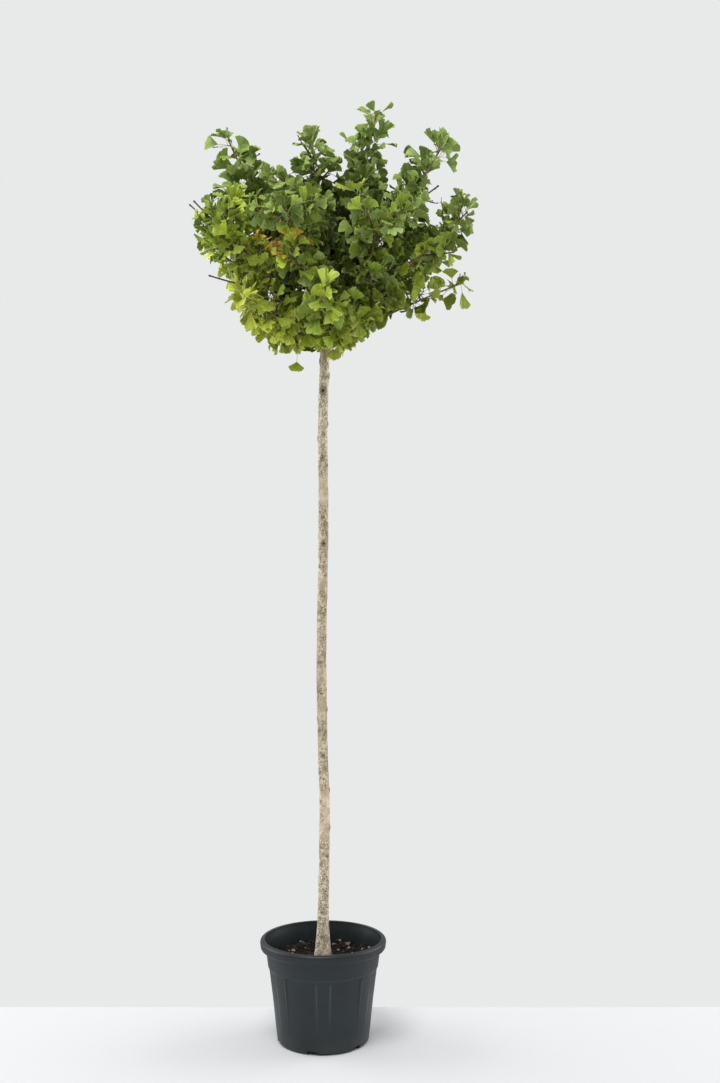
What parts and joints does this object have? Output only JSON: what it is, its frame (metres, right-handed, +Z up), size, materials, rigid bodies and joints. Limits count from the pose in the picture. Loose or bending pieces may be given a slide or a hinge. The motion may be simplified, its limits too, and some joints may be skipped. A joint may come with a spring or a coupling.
{
  "type": "grafted standard ginkgo tree in a nursery pot",
  "caption": "Grafted standard ginkgo tree: a tall bare stem with a bushy head of fan leaves on rising boughs, standing in a ribbed round nursery pot of soil.",
  "frame": {"origin": "the centre of the pot's flat underside, on the ground", "axes": "+Z up along the stem, +X to the right and +Y to the back as seen from the front"},
  "size_m": [1.0555, 0.9392, 3.2665],
  "materials": {
    "pot": "dark grey moulded plastic with a low sheen",
    "soil": "dark brown potting soil with bits of bark and grit",
    "bark": "light tan young bark with brown flecks, knots and fine lengthwise cracks",
    "bough_bark": "grey-brown bark with leaf spurs",
    "foliage_top": "deep green leaves, satin on top and paler beneath",
    "foliage_middle": "mid green leaves with a few turning yellow",
    "foliage_low": "yellow-green leaves with paler margins",
    "foliage_skirt": "light green hanging leaves"
  },
  "bodies": {
    "root": {"pot": "pot", "soil": "soil", "trunk": "bark", "bough_top_01": "bough_bark", "foliage_top_01": "foliage_top", "bough_top_02": "bough_bark", "foliage_top_02": "foliage_top", "bough_top_03": "bough_bark", "foliage_top_03": "foliage_top", "bough_top_04": "bough_bark", "foliage_top_04": "foliage_top", "bough_top_05": "bough_bark", "foliage_top_05": "foliage_top", "bough_top_06": "bough_bark", "foliage_top_06": "foliage_top", "bough_middle_07": "bough_bark", "foliage_middle_07": "foliage_middle", "bough_middle_08": "bough_bark", "foliage_middle_08": "foliage_middle", "bough_middle_09": "bough_bark", "foliage_middle_09": "foliage_middle", "bough_middle_10": "bough_bark", "foliage_middle_10": "foliage_middle", "bough_middle_11": "bough_bark", "foliage_middle_11": "foliage_middle", "bough_middle_12": "bough_bark", "foliage_middle_12": "foliage_middle", "bough_middle_13": "bough_bark", "foliage_middle_13": "foliage_middle", "bough_middle_14": "bough_bark", "foliage_middle_14": "foliage_middle", "bough_low_15": "bough_bark", "foliage_low_15": "foliage_low", "bough_low_16": "bough_bark", "foliage_low_16": "foliage_low", "bough_low_17": "bough_bark", "foliage_low_17": "foliage_low", "bough_low_18": "bough_bark", "foliage_low_18": "foliage_low", "bough_low_19": "bough_bark", "foliage_low_19": "foliage_low", "bough_low_20": "bough_bark", "foliage_low_20": "foliage_low", "bough_low_21": "bough_bark", "foliage_low_21": "foliage_low", "bough_skirt_22": "bough_bark", "foliage_skirt_22": "foliage_skirt", "bough_skirt_23": "bough_bark", "foliage_skirt_23": "foliage_skirt", "bough_skirt_24": "bough_bark", "foliage_skirt_24": "foliage_skirt", "bough_skirt_25": "bough_bark", "foliage_skirt_25": "foliage_skirt"}
  },
  "joints": []
}
